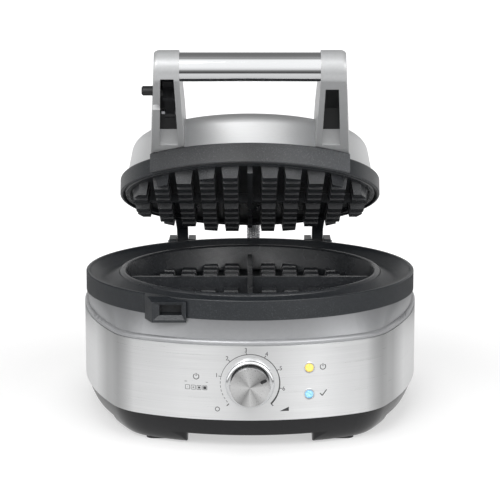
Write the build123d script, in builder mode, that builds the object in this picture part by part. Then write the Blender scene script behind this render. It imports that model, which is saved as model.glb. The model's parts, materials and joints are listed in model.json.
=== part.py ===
from build123d import *

import os
from math import cos, hypot, radians, sin, sqrt, tan

os.makedirs("parts", exist_ok=True)

# Round waffle maker with a hinged lid. Millimetres, +Z up, the front faces -Y.
# The lid is modelled closed and then turned open about the hinge by rest_opening.

# ---------------------------------------------------------------- driving dimensions
front_y = -135.0            # front of the housing
back_y = 171.7              # back of the housing
half_width = 138.5          # widest half width of the housing
tray_top_z = 34.0
tray_recess_z = 10.5        # height of the gaps between the corner pods
pod_bottom_z = 2.0
steel_bottom_z = 24.0
parting_z = 82.0            # steel band below, shoulder above
ridge_z = 86.5
deck_z = 101.5              # flat top of the shoulder
ring_top_z = 117.0
steel_thickness = 1.2
gap = 0.3                   # clearance between neighbouring bodies

ring_radius = 133.7
ring_inner_radius = 107.0
cavity_top_radius = 101.5
cavity_floor_radius = 96.5
cavity_floor_z = 95.0
rim_z = 115.0
lower_stud_tip_z = 101.5
lower_divider_z = 109.0
plate_thickness = 4.0

stud_rows = (15.4, 33.7, 52.0, 70.3, 88.6)
stud_tip = 11.0
stud_root = 14.6
divider_width = 4.0

hinge_y = 145.0
hinge_z = 109.0
hinge_x = 60.0              # centre of each hinge, left and right
rest_opening = 22.6         # degrees that the lid stands open
hinge_pin_radius = 2.5

lid_rim_z = 117.5           # lowest edge of the closed lid
lid_rim_top_z = 131.8
lid_rim_radius = 106.3
dome_radius = 101.0
dome_top_z = 164.6
dome_shoulder = 12.0
dome_lean = radians(10)     # how far the dome's wall leans inwards
upper_floor_z = 120.3
upper_stud_tip_z = 109.7
upper_divider_z = 113.0
band_radius = 111.0
band_top_z = 133.7
band_half_angle = 45.0

tube_y = -209.2             # grip axis, lid closed
tube_z = 163.6
tube_radius = 10.6
arm_inner_x = 51.0
arm_end_radius = 12.3
arm_front_x = 68.6
arm_rear_x = 79.9
arm_rear_y = -38.0

latch_y = -134.0            # storage latch pivot, lid closed
latch_z = 151.5
latch_x = -60.5
latch_width = 7.6
latch_reach = 43.0

knob_z = 53.0
knob_radius = 15.0
dial_radius = 18.7
knob_pointer_angle = 64.0   # clockwise from the top
lamp_x = 45.1
lamp_heights = {"power": 63.9, "ready": 43.2}
lamp_radius = 3.2

bumper_y = 173.3            # back face of the rear bumpers

hinge_axis = Axis((0, hinge_y, hinge_z), (1, 0, 0))
pieces = {}
lid_pieces = {}


# ---------------------------------------------------------------- shared outlines
def housing_face(inset=0.0):
    """Shield-shaped plan of the housing, moved inwards by inset."""
    with BuildSketch() as face:
        with BuildLine():
            front = ThreePointArc((0, front_y), (43, -129.6), (84.6, -113))
            corner = TangentArc(front @ 1, (107, -89), tangent=front % 1)
            side = TangentArc(corner @ 1, (half_width, 38), tangent=corner % 1)
            flank = TangentArc(side @ 1, (112, 146), tangent=side % 1)
            heel = TangentArc(flank @ 1, (86, 165.3), tangent=flank % 1)
            TangentArc(heel @ 1, (0, back_y), tangent=heel % 1)
            mirror(about=Plane.YZ)
        make_face()
        if inset > 0:
            offset(amount=-inset, kind=Kind.INTERSECTION)
    return face.sketch


def on_ring(x):
    """Front point of the ring's outer circle at x."""
    return (x, -sqrt(ring_radius**2 - x**2))


def deck_face():
    """Plan of the shoulder's flat top: the ring's circle in front, the hinge deck behind."""
    with BuildSketch() as face:
        with BuildLine():
            front = ThreePointArc((0, -ring_radius), on_ring(45), on_ring(84))
            corner = ThreePointArc(front @ 1, on_ring(97), on_ring(107))
            side = ThreePointArc(corner @ 1, on_ring(128), (131.7, 22.98))
            flank = TangentArc(side @ 1, (108.5, 145), tangent=side % 1)
            heel = TangentArc(flank @ 1, (85, 164.6), tangent=flank % 1)
            TangentArc(heel @ 1, (0, 165.2), tangent=heel % 1)
            mirror(about=Plane.YZ)
        make_face()
    return face.sketch


def circle_points(radius, count, start=0.0):
    """Points evenly spaced round a circle about the origin."""
    step = 360.0 / count
    return [
        (radius * cos(radians(start + step * i)), radius * sin(radians(start + step * i)))
        for i in range(count)
    ]


def stud_centres():
    """Centres of the waffle studs that fit inside the round cavity."""
    signed = sorted([-s for s in stud_rows] + list(stud_rows))
    return [
        (x, y)
        for x in signed
        for y in signed
        if hypot(abs(x) - stud_tip / 2, abs(y) - stud_tip / 2) < cavity_floor_radius - 3
    ]


# ---------------------------------------------------------------- base tray and feet
pod_boxes = (
    (-73.5, -91.0, 51, 52),
    (73.5, -91.0, 51, 52),
    (-80.0, 127.0, 64, 60),
    (80.0, 127.0, 64, 60),
)
post_centres = [(x, y) for x in (-55, 55) for y in (-50, 50)]
post_radius = 4.0
tray_floor_z = tray_recess_z + 2.5
tray_limit = housing_face(steel_thickness + 0.2)
board_y = -104.0
board_bottom_z = 25.0
tray_sections = ((tray_top_z, 1.5), (21.0, 2.0), (13.0, 5.2), (7.0, 8.8), (pod_bottom_z, 14.0))
tray_faces = [(z, housing_face(inset)) for z, inset in tray_sections]
inner_sections = ((tray_floor_z, 11.0), (24.0, 5.2), (tray_top_z + 1, 4.4))
inner_faces = [(z, housing_face(inset)) for z, inset in inner_sections]

with BuildPart() as base_tray:
    for z, face in tray_faces:
        with BuildSketch(Plane.XY.offset(z)):
            add(face)
    loft(ruled=False)
    for z, face in inner_faces:
        with BuildSketch(Plane.XY.offset(z)):
            add(face)
    loft(ruled=True, mode=Mode.SUBTRACT)
    with BuildSketch(Plane.XY.offset(tray_floor_z)):
        with Locations((-50, board_y - 0.8), (50, board_y - 0.8)):
            Rectangle(8, 5)
    extrude(amount=board_bottom_z - tray_floor_z)
    with BuildSketch(Plane.XY):
        add(tray_limit)
    extrude(amount=tray_top_z, mode=Mode.INTERSECT)
    with BuildSketch(Plane.XY.offset(tray_recess_z)):
        Rectangle(400, 400)
        for x, y, size_x, size_y in pod_boxes:
            with Locations((x + (5 if x > 0 else -5), y)):
                RectangleRounded(size_x + 10, size_y, 7, mode=Mode.SUBTRACT)
    extrude(amount=-20, mode=Mode.SUBTRACT)
    with Locations(*[(x, y, tray_recess_z) for x, y in post_centres]):
        Hole(radius=2.1, depth=20)

with BuildPart() as rubber_feet:
    with BuildSketch(Plane.XY):
        for x, y, size_x, size_y in pod_boxes:
            with Locations((x - (6 if x > 0 else -6), y)):
                RectangleRounded(size_x - 24, size_y - 40 if y > 0 else size_y - 34, 6)
    extrude(amount=pod_bottom_z)
pieces["base_tray"] = base_tray
pieces["rubber_feet"] = rubber_feet

# ---------------------------------------------------------------- steel band and rear panel
outline = housing_face()
steel_inside = housing_face(steel_thickness)
rear_inside = housing_face(steel_thickness + 1.4)
rear_split_y = 128.0

with BuildPart() as base_shell:
    with BuildSketch(Plane.XY.offset(steel_bottom_z)):
        add(outline)
        add(steel_inside, mode=Mode.SUBTRACT)
        with Locations((0, rear_split_y + 100)):
            Rectangle(400, 200, mode=Mode.SUBTRACT)
    extrude(amount=parting_z - steel_bottom_z)
    with BuildSketch(Plane.XZ.offset(100)):
        with Locations((0, knob_z)):
            Circle(dial_radius - 1.5)
        with Locations(*[(lamp_x, z) for z in lamp_heights.values()]):
            Circle(lamp_radius)
    extrude(amount=50, mode=Mode.SUBTRACT)

vent_rows = [(x, 62.0) for x in range(-60, 61, 12)]
with BuildPart() as rear_panel:
    with BuildSketch(Plane.XY.offset(tray_top_z + gap)):
        add(outline)
        add(rear_inside, mode=Mode.SUBTRACT)
        with Locations((0, rear_split_y - 200)):
            Rectangle(400, 400, mode=Mode.SUBTRACT)
    extrude(amount=parting_z - tray_top_z - gap)
    with BuildSketch(Plane.XZ.offset(-150)):
        with Locations(*vent_rows):
            SlotOverall(18, 4, rotation=90)
        with Locations((95, 58)):
            Circle(6)
    extrude(amount=-50, mode=Mode.SUBTRACT)
pieces["base_shell"] = base_shell
pieces["rear_panel"] = rear_panel

with BuildPart() as rear_bumpers:
    for side in (-1, 1):
        with BuildSketch(Plane.XZ.offset(-bumper_y)):
            with Locations((side * 78, 58)):
                RectangleRounded(16, 30, 6)
        extrude(amount=bumper_y - 160)
    with BuildSketch(Plane.XY):
        add(outline)
    extrude(amount=parting_z, mode=Mode.SUBTRACT)
pieces["rear_bumpers"] = rear_bumpers

with BuildPart() as cord_gland:
    with BuildSketch(Plane.XZ.offset(-172.5)):
        with Locations((95, 58)):
            Circle(8.5)
    extrude(amount=20)
    with BuildSketch(Plane.XY):
        add(outline)
    extrude(amount=parting_z, mode=Mode.SUBTRACT)
    with BuildSketch(Plane.XZ.offset(-172.5)):
        with Locations((95, 58)):
            Circle(5.9)
    extrude(amount=26)
    with BuildSketch(Plane.XZ.offset(-172.5)):
        with Locations((95, 58)):
            Circle(3.5)
    extrude(amount=40, mode=Mode.SUBTRACT)
pieces["cord_gland"] = cord_gland

# ---------------------------------------------------------------- shoulder
bracket_screw_points = [
    (side * hinge_x + offset, y) for side in (-1, 1) for offset in (-8.5, 8.5) for y in (134.0, 153.0)
]
parting_groove = (0.9, 0.7)     # depth and height of the shadow line above the steel
shoulder_bore = 121.0
deck = deck_face()
ridge_round = 2.6
ridge_inside = housing_face(ridge_round)

with BuildPart() as top_shell:
    with BuildSketch(Plane.XY.offset(parting_z)):
        add(outline)
    extrude(amount=ridge_z - parting_z)
    fillet(faces().sort_by(Axis.Z)[-1].edges(), radius=ridge_round)
    with BuildSketch(Plane.XY.offset(ridge_z)):
        add(ridge_inside)
    with BuildSketch(Plane.XY.offset(deck_z)):
        add(deck)
    loft(ruled=True)
    with BuildSketch(Plane.XY.offset(parting_z)):
        add(housing_face(9.0))
    extrude(amount=deck_z - parting_z - 5.5, mode=Mode.SUBTRACT)
    with BuildSketch(Plane.XY.offset(parting_z)):
        Circle(shoulder_bore)
    extrude(amount=40, mode=Mode.SUBTRACT)
    with BuildSketch(Plane.XY.offset(parting_z)):
        with Locations(*bracket_screw_points):
            Circle(1.6)
    extrude(amount=30, mode=Mode.SUBTRACT)
    with BuildSketch(Plane.XY.offset(parting_z)):
        add(outline)
        add(housing_face(parting_groove[0]), mode=Mode.SUBTRACT)
    extrude(amount=parting_groove[1], mode=Mode.SUBTRACT)
pieces["top_shell"] = top_shell

# ---------------------------------------------------------------- moat ring with latch socket
lip_width = 2.6
socket_x = -61.5
socket_width = 26.0
socket_face_y = -127.0
socket_rear_y = -103.0
socket_bottom_z = 98.5
socket_top_z = 114.0
socket_flare = 6.0          # how far the left side spreads towards the ring
socket_opening = (16.8, 7.8)
socket_mouth = (24.0, 13.6)
socket_z = 107.9

# The block hangs in front of the shoulder, and its top slopes up to the ring's lip.
with BuildPart() as socket_block:
    with BuildSketch(Plane.XY.offset(socket_bottom_z)):
        with BuildLine():
            Polyline(
                (socket_x + socket_width / 2, socket_rear_y),
                (socket_x + socket_width / 2, socket_face_y),
                (socket_x - socket_width / 2, socket_face_y),
                (socket_x - socket_width / 2 - socket_flare, socket_face_y + 15),
                (socket_x - socket_width / 2 - socket_flare, socket_rear_y),
                close=True,
            )
        make_face()
    extrude(amount=ring_top_z - socket_bottom_z)
    with BuildSketch(Plane.XY.offset(socket_bottom_z)):
        Circle(ring_radius + 1.6)
    extrude(amount=deck_z - socket_bottom_z, mode=Mode.SUBTRACT)
    with BuildSketch(Plane.YZ.offset(socket_x - 30)):
        with BuildLine():
            Polyline(
                (socket_face_y - 1, socket_top_z),
                (socket_face_y + 9, ring_top_z - 0.2),
                (socket_face_y + 9, ring_top_z + 5),
                (socket_face_y - 1, ring_top_z + 5),
                close=True,
            )
        make_face()
    extrude(amount=60, mode=Mode.SUBTRACT)

with BuildPart() as moat_ring:
    add(socket_block.part)
    with BuildSketch(Plane.XZ):
        with BuildLine():
            outer = Polyline(
                (ring_inner_radius, 110.6),
                (116, 104.6),
                (128, 104.6),
                (128, deck_z),
                (ring_radius, deck_z),
                (ring_radius, ring_top_z - 0.8),
            )
            lip = ThreePointArc(outer @ 1, (ring_radius - 0.25, ring_top_z - 0.25), (ring_radius - 0.8, ring_top_z))
            flat = Line(lip @ 1, (ring_radius - lip_width, ring_top_z))
            channel = Spline(
                flat @ 1,
                (127.6, 112.6),
                (121.5, 109.0),
                (113.5, 110.8),
                (ring_inner_radius, 114.4),
                tangents=((-0.35, -1), (-1, 0.75)),
            )
            Line(channel @ 1, outer @ 0)
        make_face()
    revolve(axis=Axis.Z)
    with BuildSketch(Plane.XZ):
        with BuildLine():
            trough = Spline(
                (ring_radius - lip_width, ring_top_z),
                (127.6, 112.6),
                (121.5, 109.0),
                (113.5, 110.8),
                (ring_inner_radius, 114.4),
                tangents=((-0.35, -1), (-1, 0.75)),
            )
            Polyline(trough @ 1, (90, 114.4), (90, 130), (ring_radius - lip_width, 130), trough @ 0)
        make_face()
    revolve(axis=Axis.Z, mode=Mode.SUBTRACT)
    with BuildSketch(Plane.XY.offset(deck_z - 1)):
        Circle(116)
    extrude(amount=110.6 - 6.0 - deck_z + 1, mode=Mode.SUBTRACT)
    with BuildSketch(Plane.XZ.offset(-socket_face_y)):
        with Locations((socket_x, socket_z - 0.8)):
            Rectangle(*socket_mouth)
    with BuildSketch(Plane.XZ.offset(-socket_face_y - 1.6)):
        with Locations((socket_x + 1.2, socket_z)):
            Rectangle(*socket_opening)
    loft(mode=Mode.SUBTRACT)
    with BuildSketch(Plane.XZ.offset(-socket_face_y - 1.6)):
        with Locations((socket_x + 1.2, socket_z)):
            Rectangle(*socket_opening)
    extrude(amount=-11, mode=Mode.SUBTRACT)
pieces["moat_ring"] = moat_ring

# ---------------------------------------------------------------- lower plate
boss_points = circle_points(86, 3, start=90)
reflector_z = 70.0
sheet = 1.2


def stud(root_z, tip_z):
    """One waffle stud: a square frustum from its root to its tip."""
    with BuildPart() as block:
        with BuildSketch(Plane.XY.offset(root_z)):
            Rectangle(stud_root, stud_root)
        with BuildSketch(Plane.XY.offset(tip_z)):
            Rectangle(stud_tip, stud_tip)
        loft(ruled=True)
    return block.part


def studs(root_z, tip_z):
    """Every stud of one plate, trimmed by the round cavity."""
    block = stud(root_z, tip_z)
    with BuildPart() as group:
        with Locations(*stud_centres()):
            add(block)
        with BuildSketch(Plane.XY.offset(min(root_z, tip_z) - 1)):
            Circle(cavity_floor_radius + 1.2)
        extrude(amount=abs(root_z - tip_z) + 2, mode=Mode.INTERSECT)
    return group.part


lower_studs = studs(cavity_floor_z - 0.5, lower_stud_tip_z)
with BuildPart() as lower_plate:
    with BuildSketch(Plane.XZ):
        with BuildLine():
            floor = Line((0, cavity_floor_z), (cavity_floor_radius - 3, cavity_floor_z))
            root = ThreePointArc(floor @ 1, (cavity_floor_radius - 0.9, 95.9), (cavity_floor_radius, 98))
            wall = Line(root @ 1, (cavity_top_radius, rim_z))
            rim = ThreePointArc(wall @ 1, (104.2, rim_z + 1.5), (ring_inner_radius - 0.2, rim_z - 0.6))
            Polyline(
                rim @ 1,
                (ring_inner_radius - 0.2, 97),
                (98, cavity_floor_z - plate_thickness),
                (0, cavity_floor_z - plate_thickness),
                floor @ 0,
            )
        make_face()
    revolve(axis=Axis.Z)
    add(lower_studs)
    with BuildSketch(Plane.XY.offset(cavity_floor_z - 1)):
        Rectangle(2 * cavity_floor_radius, divider_width)
        Rectangle(divider_width, 2 * cavity_floor_radius)
    extrude(amount=lower_divider_z - cavity_floor_z + 1)
    with BuildSketch(Plane.XY.offset(reflector_z + sheet)):
        with Locations(*boss_points):
            Circle(5)
    extrude(amount=cavity_floor_z - plate_thickness - reflector_z - sheet)
    with BuildSketch(Plane.XY.offset(reflector_z)):
        with Locations(*boss_points):
            Circle(2.0)
    extrude(amount=18, mode=Mode.SUBTRACT)
pieces["lower_plate"] = lower_plate

# ---------------------------------------------------------------- parts under the lower plate
element_radius = 3.5
element_ring = 62.0
element_span = 330.0
lower_element_z = cavity_floor_z - plate_thickness - element_radius - 0.1
leg_ends = [
    (element_ring * cos(radians(a)), element_ring * sin(radians(a)))
    for a in (0, element_span)
]

with BuildPart() as lower_heater:
    with BuildSketch(Plane.XZ):
        with Locations((element_ring, lower_element_z)):
            Circle(element_radius)
    revolve(axis=Axis.Z, revolution_arc=element_span)
    for x, y in leg_ends:
        with BuildSketch(Plane.XY.offset(lower_element_z + element_radius - 0.1)):
            with Locations((x, y)):
                Circle(element_radius)
        extrude(amount=-32)
pieces["lower_heater"] = lower_heater

with BuildPart() as lower_reflector:
    with BuildSketch(Plane.XY.offset(reflector_z)):
        Circle(96)
    extrude(amount=16)
    with BuildSketch(Plane.XY.offset(reflector_z + sheet)):
        Circle(96 - sheet)
    extrude(amount=20, mode=Mode.SUBTRACT)
    with BuildSketch(Plane.XY.offset(reflector_z - 1)):
        with Locations(*leg_ends):
            Circle(element_radius + 1.5)
        with Locations(*boss_points, *post_centres):
            Circle(2.1)
    extrude(amount=4, mode=Mode.SUBTRACT)
pieces["lower_reflector"] = lower_reflector


def screw(radius, length, head_radius, head_height, top):
    """A pan-head screw along Z: its head under top, its shank rising from there."""
    with BuildPart() as body:
        with BuildSketch(Plane.XY.offset(top)):
            Circle(radius)
        extrude(amount=length)
        with BuildSketch(Plane.XY.offset(top - head_height)):
            Circle(head_radius)
        extrude(amount=head_height)
        fillet(body.faces().sort_by(Axis.Z)[0].edges(), radius=head_height / 3)
        with BuildSketch(Plane.XY.offset(top - head_height)):
            Rectangle(head_radius, 0.9)
            Rectangle(0.9, head_radius)
        extrude(amount=head_height / 2, mode=Mode.SUBTRACT)
    return body.part


plate_screw = screw(1.9, 14, 4.0, 2.4, reflector_z)
with BuildPart() as plate_screws:
    with Locations(*boss_points):
        add(plate_screw)
pieces["plate_screws"] = plate_screws

with BuildPart() as standoffs:
    with BuildSketch(Plane.XY.offset(tray_floor_z)):
        with Locations(*post_centres):
            RegularPolygon(post_radius + 1, 6)
        with Locations(*post_centres):
            Circle(1.95, mode=Mode.SUBTRACT)
    extrude(amount=reflector_z - tray_floor_z)
pieces["standoffs"] = standoffs

lower_screw = screw(1.85, 12, 3.6, 2.0, tray_recess_z)
upper_screw = screw(1.85, 10, 3.6, 2.0, -reflector_z - sheet)
with BuildPart() as standoff_screws:
    with Locations(*post_centres):
        add(lower_screw)
        add(upper_screw.rotate(Axis.X, 180))
pieces["standoff_screws"] = standoff_screws

with BuildPart() as lower_thermostat:
    with BuildSketch(Plane.XY.offset(cavity_floor_z - plate_thickness)):
        with Locations((24, 0)):
            Circle(8.5)
    extrude(amount=-5)
    with BuildSketch(Plane.XY.offset(cavity_floor_z - plate_thickness - 5)):
        with Locations((24, 0)):
            Circle(7)
        with Locations((24, 0)):
            Rectangle(20, 5)
    extrude(amount=-5)
pieces["lower_thermostat"] = lower_thermostat

with BuildPart() as thermal_fuse:
    with BuildSketch(Plane.YZ.offset(-38)):
        with Locations((0, reflector_z + sheet + 2.1)):
            Circle(2.1)
    extrude(amount=14)
    with BuildSketch(Plane.YZ.offset(-44)):
        with Locations((0, reflector_z + sheet + 2.1)):
            Circle(0.6)
    extrude(amount=26)
pieces["thermal_fuse"] = thermal_fuse

with BuildPart() as terminal_block:
    with BuildSketch(Plane.XY.offset(tray_floor_z)):
        with Locations((84, 112)):
            Rectangle(34, 16)
    extrude(amount=14)
    with BuildSketch(Plane.XY.offset(tray_floor_z + 14)):
        with Locations((84, 112)):
            with GridLocations(10, 8, 3, 2):
                Circle(2.4)
    extrude(amount=-6, mode=Mode.SUBTRACT)
pieces["terminal_block"] = terminal_block

# ---------------------------------------------------------------- control board and lamps
board_z = 53.0
with BuildPart() as control_board:
    with BuildSketch(Plane.XZ.offset(-board_y)):
        with Locations((0, board_z)):
            Rectangle(120, 56)
        with Locations((0, board_z)):
            with GridLocations(112, 48, 2, 2):
                Circle(1.6, mode=Mode.SUBTRACT)
    extrude(amount=1.6)
pieces["control_board"] = control_board

with BuildPart() as board_components:
    with BuildSketch(Plane.XZ.offset(-board_y)):
        with Locations((-34, 62), (-34, 40)):
            Rectangle(20, 16)
    extrude(amount=-15)
    with BuildSketch(Plane.XZ.offset(-board_y)):
        with Locations((4, 62), (20, 62), (4, 40)):
            Circle(5)
    extrude(amount=-18)
    with BuildSketch(Plane.XZ.offset(-board_y)):
        with Locations((26, 40)):
            Rectangle(24, 18)
    extrude(amount=-12)
pieces["board_components"] = board_components

with BuildPart() as led_board:
    with BuildSketch(Plane.XZ.offset(118)):
        with Locations((lamp_x, board_z)):
            Rectangle(14, 44)
    extrude(amount=1.6)
    with BuildSketch(Plane.XZ.offset(119.6)):
        with Locations(*[(lamp_x, z) for z in lamp_heights.values()]):
            Circle(1.6)
    extrude(amount=3.4)
pieces["led_board"] = led_board

lamp_face_y = 39 - sqrt(174**2 - lamp_x**2)
lens_pieces = {}
for name, z in lamp_heights.items():
    with BuildPart() as lens:
        with BuildSketch(Plane.XZ.offset(-lamp_face_y - 4.5)):
            with Locations((lamp_x, z)):
                Circle(lamp_radius - 0.05)
        extrude(amount=5.4)
        fillet(lens.faces().sort_by(Axis.Y)[0].edges(), radius=1.2)
    lens_pieces[name] = lens
pieces["power_lens"] = lens_pieces["power"]
pieces["ready_lens"] = lens_pieces["ready"]

with BuildPart() as lens_bezels:
    with BuildSketch(Plane.XZ.offset(-lamp_face_y - 1)):
        with Locations(*[(lamp_x, z) for z in lamp_heights.values()]):
            Circle(lamp_radius + 1.1)
        with Locations(*[(lamp_x, z) for z in lamp_heights.values()]):
            Circle(lamp_radius, mode=Mode.SUBTRACT)
    extrude(amount=2.2)
    chamfer(lens_bezels.faces().group_by(Axis.Y)[0].edges().filter_by(GeomType.CIRCLE), length=0.4)
    with BuildSketch(Plane.XY.offset(steel_bottom_z)):
        add(outline)
    extrude(amount=parting_z - steel_bottom_z, mode=Mode.SUBTRACT)
pieces["lens_bezels"] = lens_bezels

# ---------------------------------------------------------------- dial, knob and switch
bezel_front_y = front_y - 4.2
with BuildPart() as dial_bezel:
    with BuildSketch(Plane.XZ.offset(-front_y - 3)):
        with Locations((0, knob_z)):
            Circle(dial_radius - 1.5)
    extrude(amount=7.2)
    with BuildSketch(Plane.XZ.offset(-front_y)):
        with Locations((0, knob_z)):
            Circle(dial_radius)
    extrude(amount=4.2)
    fillet(dial_bezel.faces().sort_by(Axis.Y)[0].edges(), radius=2.4)
    with BuildSketch(Plane.XZ.offset(-bezel_front_y)):
        with Locations((0, knob_z)):
            Circle(knob_radius + 0.8)
    extrude(amount=-4.2, mode=Mode.SUBTRACT)
    with BuildSketch(Plane.XZ.offset(-front_y - 4)):
        with Locations((0, knob_z)):
            Circle(3.6)
    extrude(amount=10, mode=Mode.SUBTRACT)
pieces["dial_bezel"] = dial_bezel

with BuildPart() as selector_switch:
    with BuildSketch(Plane.XZ.offset(-board_y + 1.6)):
        with Locations((0, knob_z)):
            Circle(12)
    extrude(amount=12)
    with BuildSketch(Plane.XZ.offset(-board_y + 13.6)):
        with Locations((0, knob_z)):
            Circle(5)
    extrude(amount=8)
    with BuildSketch(Plane.XZ.offset(-board_y + 4)):
        with Locations((0, knob_z)):
            Circle(3.05)
    extrude(amount=30, mode=Mode.SUBTRACT)
pieces["selector_switch"] = selector_switch

knob_back_y = front_y - 1.0
knob_front_y = -149.0
with BuildPart() as selector_shaft:
    with BuildSketch(Plane.XZ.offset(-board_y + 4.2)):
        with Locations((0, knob_z)):
            Circle(3.0)
    extrude(amount=-knob_back_y + board_y + 6.8)
    with BuildSketch(Plane.XZ.offset(-knob_back_y)):
        with Locations((0, knob_z + 4)):
            Rectangle(6, 4)
    extrude(amount=20, mode=Mode.SUBTRACT)
pieces["selector_shaft"] = selector_shaft

with BuildPart() as knob_body:
    with BuildSketch(Plane.XZ.offset(-knob_back_y)):
        with Locations((0, knob_z)):
            Circle(knob_radius - 0.3)
    extrude(amount=knob_back_y - knob_front_y - 1.6)
    add(selector_shaft.part, mode=Mode.SUBTRACT)
pieces["knob_body"] = knob_body

cap_thickness = 1.6
with BuildPart() as knob_cap:
    with BuildSketch(Plane.XZ.offset(-knob_front_y - cap_thickness)):
        with Locations((0, knob_z)):
            Circle(knob_radius)
    extrude(amount=cap_thickness)
    chamfer(knob_cap.faces().sort_by(Axis.Y)[0].edges(), length=0.8)
    with BuildSketch(Plane.XZ.offset(-knob_front_y)):
        with Locations((0, knob_z)):
            with PolarLocations(knob_radius - 3.6, 1, start_angle=90 - knob_pointer_angle):
                SlotOverall(5.2, 2.4)
    extrude(amount=-0.7, mode=Mode.SUBTRACT)
pieces["knob_cap"] = knob_cap

with BuildPart() as knob_pointer:
    with BuildSketch(Plane.XZ.offset(-knob_front_y - 0.7)):
        with Locations((0, knob_z)):
            with PolarLocations(knob_radius - 3.6, 1, start_angle=90 - knob_pointer_angle):
                SlotOverall(5.2, 2.4)
    extrude(amount=1.0)
pieces["knob_pointer"] = knob_pointer

# ---------------------------------------------------------------- hinge
bracket_width = 23.0
bracket_front_y = 128.5
bracket_rear_y = 159.0
bracket_top_z = 116.5
bracket_round = 8.5
bracket_floor = 1.2
arm_width = 9.6
slot_width = arm_width + 2 * gap + 0.8
hub_radius = hinge_z - deck_z - bracket_floor - gap
hinge_sides = (-hinge_x, hinge_x)
slot_step_z = 106.0
bracket_screw_length = 12.0
bracket_screw_seat_z = deck_z - 5.5

with BuildPart() as hinge_brackets:
    for x in hinge_sides:
        with BuildSketch(Plane.YZ.offset(x - bracket_width / 2)):
            with BuildLine():
                front = Polyline(
                    (bracket_rear_y, deck_z),
                    (bracket_front_y, deck_z),
                    (bracket_front_y, bracket_top_z - 1.5),
                    (bracket_front_y + 1.5, bracket_top_z),
                    (bracket_rear_y - bracket_round, bracket_top_z),
                )
                rear = ThreePointArc(
                    front @ 1,
                    (bracket_rear_y - 0.293 * bracket_round, bracket_top_z - 0.293 * bracket_round),
                    (bracket_rear_y, bracket_top_z - bracket_round),
                )
                Line(rear @ 1, front @ 0)
            make_face()
        extrude(amount=bracket_width)
        with BuildSketch(Plane.YZ.offset(x - slot_width / 2)):
            with BuildLine():
                Polyline(
                    (bracket_front_y - 1, bracket_top_z + 1),
                    (bracket_front_y - 1, slot_step_z),
                    (hinge_y - hub_radius - 3, slot_step_z),
                    (hinge_y - hub_radius - 3, deck_z + bracket_floor),
                    (bracket_rear_y + 1, deck_z + bracket_floor),
                    (bracket_rear_y + 1, bracket_top_z + 1),
                    close=True,
                )
            make_face()
        extrude(amount=slot_width, mode=Mode.SUBTRACT)
    with BuildSketch(Plane.YZ.offset(-100)):
        with Locations((hinge_y, hinge_z)):
            Circle(hinge_pin_radius)
    extrude(amount=200, mode=Mode.SUBTRACT)
    with BuildSketch(Plane.XY.offset(deck_z)):
        with Locations(*bracket_screw_points):
            Circle(1.55)
    extrude(amount=bracket_screw_seat_z + bracket_screw_length + 0.4 - deck_z, mode=Mode.SUBTRACT)
pieces["hinge_brackets"] = hinge_brackets

pin_head = 1.6
with BuildPart() as hinge_pins:
    for side in (-1, 1):
        inner = side * (hinge_x - bracket_width / 2)
        with BuildSketch(Plane.YZ.offset(inner)):
            with Locations((hinge_y, hinge_z)):
                Circle(hinge_pin_radius)
        extrude(amount=side * bracket_width)
        for start in (inner, inner + side * bracket_width):
            outward = side if start != inner else -side
            with BuildSketch(Plane.YZ.offset(start)):
                with Locations((hinge_y, hinge_z)):
                    Circle(hinge_pin_radius + 1.5)
            extrude(amount=outward * pin_head)
pieces["hinge_pins"] = hinge_pins

# The gooseneck arms pass over the ring's back wall and carry the lid's rim.
arm_low_z = 120.0
arm_high_z = 130.0
with BuildPart() as hinge_arms:
    for x in hinge_sides:
        with BuildSketch(Plane.YZ.offset(x - arm_width / 2)):
            with BuildLine():
                under = Polyline((70, arm_low_z), (hinge_y - 15, arm_low_z))
                inside = ThreePointArc(
                    under @ 1,
                    (hinge_y - 9.5, hinge_z + 7.5),
                    (hinge_y - hub_radius, hinge_z),
                )
                hub = ThreePointArc(
                    inside @ 1,
                    (hinge_y, hinge_z - hub_radius),
                    (hinge_y + hub_radius, hinge_z),
                )
                outside = ThreePointArc(
                    hub @ 1,
                    (hinge_y, hinge_z + 14),
                    (hinge_y - 12, arm_high_z),
                )
                Polyline(outside @ 1, (70, arm_high_z), under @ 0)
            make_face()
        extrude(amount=arm_width)
    with BuildSketch(Plane.XY.offset(arm_low_z - 5)):
        Circle(lid_rim_radius)
    extrude(amount=30, mode=Mode.SUBTRACT)
    with BuildSketch(Plane.YZ.offset(-100)):
        with Locations((hinge_y, hinge_z)):
            Circle(hinge_pin_radius + 0.05)
    extrude(amount=200, mode=Mode.SUBTRACT)
lid_pieces["hinge_arms"] = hinge_arms

# ---------------------------------------------------------------- lid shell
rim_wall = 3.2
with BuildPart() as lid_rim:
    with BuildSketch(Plane.XZ):
        with BuildLine():
            outer = Polyline(
                (lid_rim_radius - rim_wall, 128.6),
                (lid_rim_radius - rim_wall, lid_rim_z + 1.2),
                (lid_rim_radius - rim_wall + 1.2, lid_rim_z),
                (lid_rim_radius - 1.4, lid_rim_z),
            )
            edge = ThreePointArc(
                outer @ 1,
                (lid_rim_radius - 0.4, lid_rim_z + 0.4),
                (lid_rim_radius, lid_rim_z + 1.4),
            )
            side = Line(edge @ 1, (lid_rim_radius, lid_rim_top_z - 2))
            top = ThreePointArc(
                side @ 1,
                (lid_rim_radius - 0.6, lid_rim_top_z - 0.6),
                (lid_rim_radius - 2, lid_rim_top_z),
            )
            Polyline(top @ 1, (95, lid_rim_top_z), (95, 128.6), outer @ 0)
        make_face()
    revolve(axis=Axis.Z)
lid_pieces["lid_rim"] = lid_rim

dome_sheet = 1.0
crown_rise = 0.8
bend_z = dome_top_z - crown_rise - dome_shoulder
wall_height = bend_z + dome_shoulder * sin(dome_lean) - lid_rim_top_z
bend_radius = dome_radius - wall_height * tan(dome_lean) - dome_shoulder * cos(dome_lean)


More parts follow.
